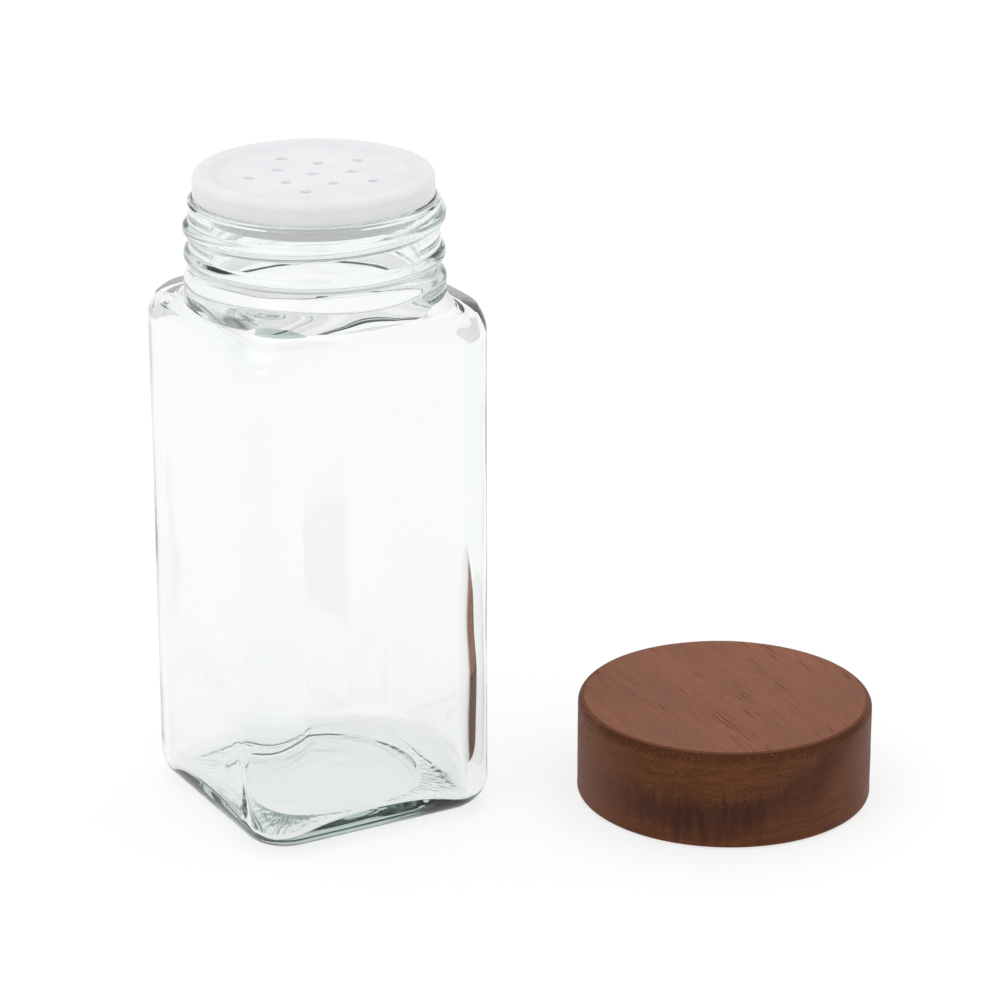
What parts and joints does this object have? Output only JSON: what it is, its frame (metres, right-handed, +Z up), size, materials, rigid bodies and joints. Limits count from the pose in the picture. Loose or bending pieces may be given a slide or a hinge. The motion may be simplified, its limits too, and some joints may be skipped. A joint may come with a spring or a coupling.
{
  "type": "spice jar",
  "caption": "Square clear-glass spice jar with a screw neck, a push-fit plastic shaker insert with pouring holes, and a round wooden screw cap that stands open beside it.",
  "frame": {"origin": "centre of the glass jar's base, on the surface that it stands on", "axes": "+Z up along the neck's axis, +X and +Y square to the jar's flat sides, with the cap beside the jar towards +X and -Y"},
  "size_m": [0.1053, 0.0794, 0.1074],
  "materials": {
    "clear_glass": "clear, polished, faint green in the thick parts",
    "insert_plastic": "milky translucent, satin",
    "cap_wood": "reddish-brown, oiled, satin",
    "liner_plastic": "white, satin",
    "seal_foam": "white foam, matt"
  },
  "bodies": {
    "jar": {"glass_jar": "clear_glass"},
    "shaker": {"shaker_insert": "insert_plastic"},
    "cap_disc": {"cap_sealing_disc": "seal_foam"},
    "cap": {"cap_wood_shell": "cap_wood", "cap_thread_insert": "liner_plastic"}
  },
  "joints": [
    {"name": "shaker_pull", "type": "slide", "parent": "jar", "child": "shaker", "axis": [0, 0, 1], "range_m": [0, 0.03]},
    {"name": "cap_rise", "type": "slide", "parent": "jar", "child": "cap_disc", "axis": [0, 0, 1], "range_m": [0, 0.00424]},
    {"name": "cap_turn", "type": "hinge", "parent": "cap_disc", "child": "cap", "pos_m": [0.05853, -0.03264, 0], "axis": [0, 0, 1], "range_deg": [0, 360]}
  ],
  "couplings": [
    {"joint": "cap_rise", "follows": "cap_turn", "m_per_rad": 0.00067375}
  ]
}
